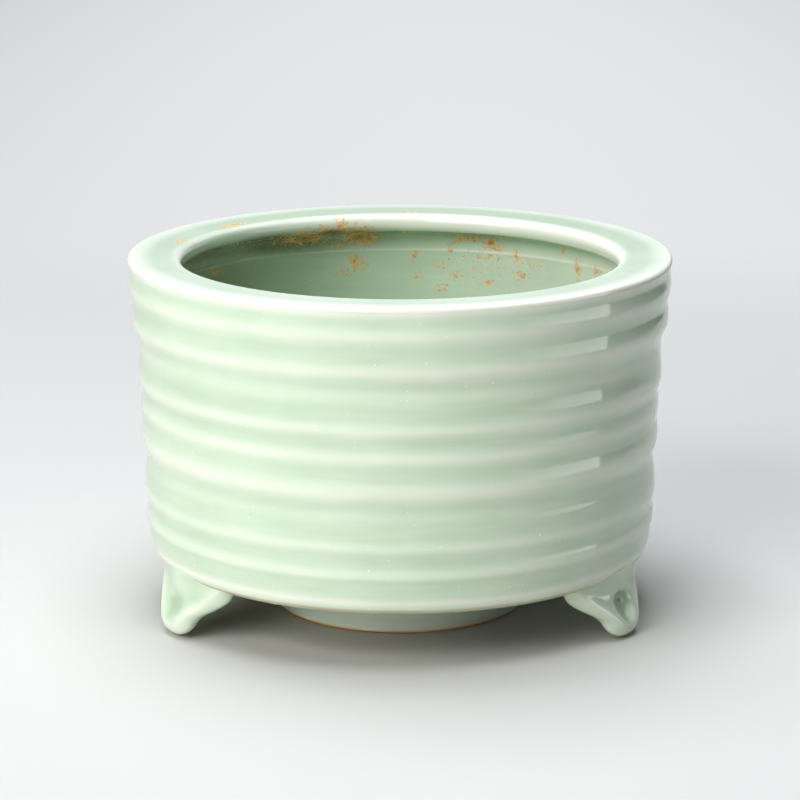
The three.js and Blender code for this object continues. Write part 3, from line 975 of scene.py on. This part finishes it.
def makeFloor():
    setup = stageSetup
    half, level = setup["floorHalf"], -setup["floorDrop"]
    floor = meshObject("floor", [(-half, -half, level), (half, -half, level), (half, half, level),
                                 (-half, half, level)], [(0, 1, 2, 3)])
    material = emptyMaterial("paleFloor")
    tree = material.node_tree
    place = addNode(tree, "ShaderNodeTexCoord").outputs["Object"]
    ray = addNode(tree, "ShaderNodeLightPath").outputs
    distance = vectorNode(tree, "LENGTH", place)["Value"]
    # painted shade: the paper is darkened and warmed near the vessel's foot
    nearShade = faded(tree, distance, setup["nearStart"], setup["nearEnd"])
    paper = addNode(tree, "ShaderNodeBsdfDiffuse", {
        "Color": blended(tree, nearShade, setup["nearShadeColour"], setup["floorColour"])})
    aside = vectorNode(tree, "SUBTRACT", place, setup["falloffCentre"])["Vector"]
    scaled = vectorNode(tree, "MULTIPLY", aside, setup["falloffScale"])["Vector"]
    reach = vectorNode(tree, "LENGTH", scaled)["Value"]
    falloff = limited(tree, mathNode(tree, "MULTIPLY", reach, reach))
    glow = mathNode(tree, "MULTIPLY_ADD", falloff, -setup["falloff"], 1.0)
    edge, edgeHalf = setup["paperEdge"], setup["paperEdgeHalf"]
    beyond = faded(tree, splitAxes(tree, place)["X"], edge - edgeHalf, edge + edgeHalf)
    dark = mathNode(tree, "MULTIPLY", beyond, ray["Is Glossy Ray"])
    bright = mathNode(tree, "MULTIPLY_ADD", dark, -setup["roomDarkness"], 1.0)
    far = addNode(tree, "ShaderNodeEmission", {
        "Color": setup["farColour"], "Strength": mathNode(tree, "MULTIPLY", glow, bright)})
    fade = faded(tree, distance, setup["fadeStart"], setup["fadeEnd"])
    surfaceOutput(tree, addNode(tree, "ShaderNodeMixShader", {
        0: mathNode(tree, "MULTIPLY", fade, seenOrGlossy(tree, ray)),
        1: paper.outputs[0], 2: far.outputs[0]}))
    floor.data.materials.append(material)


softBoxes = {  # azimuth from the front and elevation in degrees, sizes in metres, power in watts
    "keyBox": {"azimuth": -41, "elevation": 33, "width": 1.2, "height": 0.7, "power": 16.6,
               "inGloss": True, "colour": (1, 1, 1)},
    "lowBox": {"azimuth": -43, "elevation": 5, "width": 1.0, "height": 0.25, "power": 6.6,
               "inGloss": False, "colour": (1, 1, 1)},
    "coolBox": {"azimuth": 115, "elevation": 14, "width": 1.0, "height": 0.4, "power": 1.2,
                "inGloss": False, "colour": (0.76, 0.92, 1.06)},
    "backTopBox": {"azimuth": 200, "elevation": 72, "width": 0.9, "height": 0.9, "power": 14.2,
                   "inGloss": False, "colour": (0.93, 0.98, 1.04)},
    "topBox": {"azimuth": 0, "elevation": 80, "width": 0.9, "height": 0.9, "power": 11.5,
               "inGloss": False, "colour": (0.93, 0.98, 1.04)},
}
sidePanel = {  # a low pale panel on the right that shows in the glaze, brightest at its far end
    "distance": 0.50,
    "near": -0.45,
    "far": 0.0,
    "height": 0.20,
    "fading": 0.7,
    "glow": 3.3,
}


def softBox(name, azimuth, elevation, width, height, power, inGloss, colour):
    turn, rise = math.radians(azimuth), math.radians(elevation)
    direction = Vector((math.sin(turn) * math.cos(rise), -math.cos(turn) * math.cos(rise), math.sin(rise)))
    place = direction * stageSetup["lightDistance"]
    aim = Vector((0, 0, stageSetup["lightAim"])) - place
    data = bpy.data.lights.new(name, "AREA")
    data.shape = "RECTANGLE"
    data.size = width
    data.size_y = height
    data.energy = power
    data.color = colour
    light = bpy.data.objects.new(name, data)
    light.location = place
    light.rotation_euler = aim.to_track_quat("-Z", "Y").to_euler()
    light.visible_camera = False
    light.visible_glossy = inGloss
    bpy.context.scene.collection.objects.link(light)


def makeSidePanel():
    panel = sidePanel
    across, near, far, height = panel["distance"], panel["near"], panel["far"], panel["height"]
    board = meshObject("sidePanel", [(across, near, 0), (across, near, height), (across, far, height),
                                     (across, far, 0)], [(0, 1, 2, 3)])
    material = emptyMaterial("panelGlow")
    tree = material.node_tree
    along = splitAxes(tree, addNode(tree, "ShaderNodeTexCoord").outputs["Object"])["Y"]
    share = addNode(tree, "ShaderNodeMapRange", {"Value": along, "From Min": near, "From Max": far})
    glow = mathNode(tree, "POWER", share.outputs["Result"], panel["fading"])
    surfaceOutput(tree, addNode(tree, "ShaderNodeEmission", {
        "Strength": mathNode(tree, "MULTIPLY", glow, panel["glow"])}))
    board.data.materials.append(material)
    board.visible_camera = False
    board.visible_diffuse = False
    board.visible_shadow = False


def makeWorld():  # dim all round, with a pale backdrop behind and a bright ceiling for the gloss
    setup = stageSetup
    world = bpy.data.worlds.new("studio")
    world.use_nodes = True
    tree = world.node_tree
    direction = splitAxes(tree, addNode(tree, "ShaderNodeTexCoord").outputs["Generated"])
    ray = addNode(tree, "ShaderNodeLightPath").outputs
    behind = faded(tree, direction["Y"], setup["backdropStart"], setup["backdropFull"])
    low = faded(tree, direction["Z"], setup["backdropTop"], setup["backdropTopFull"])
    backdrop = mathNode(tree, "MULTIPLY", mathNode(tree, "MULTIPLY", behind, low), seenOrGlossy(tree, ray))
    high = faded(tree, direction["Z"], setup["ceilingStart"], setup["ceilingFull"])
    ceiling = mathNode(tree, "MULTIPLY", high, ray["Is Glossy Ray"])
    ceiling = mathNode(tree, "MULTIPLY_ADD", ceiling, setup["ceilingGlow"], setup["ambient"])
    background = tree.nodes["Background"]
    feed(tree, background.inputs["Color"], setup["farColour"])
    feed(tree, background.inputs["Strength"], mathNode(tree, "ADD", backdrop, ceiling))
    bpy.context.scene.world = world


makeCamera()
makeFloor()
makeWorld()
makeSidePanel()
for name, values in softBoxes.items():
    softBox(name, **values)
bpy.context.scene.view_settings.view_transform = "Standard"
print("stage set")
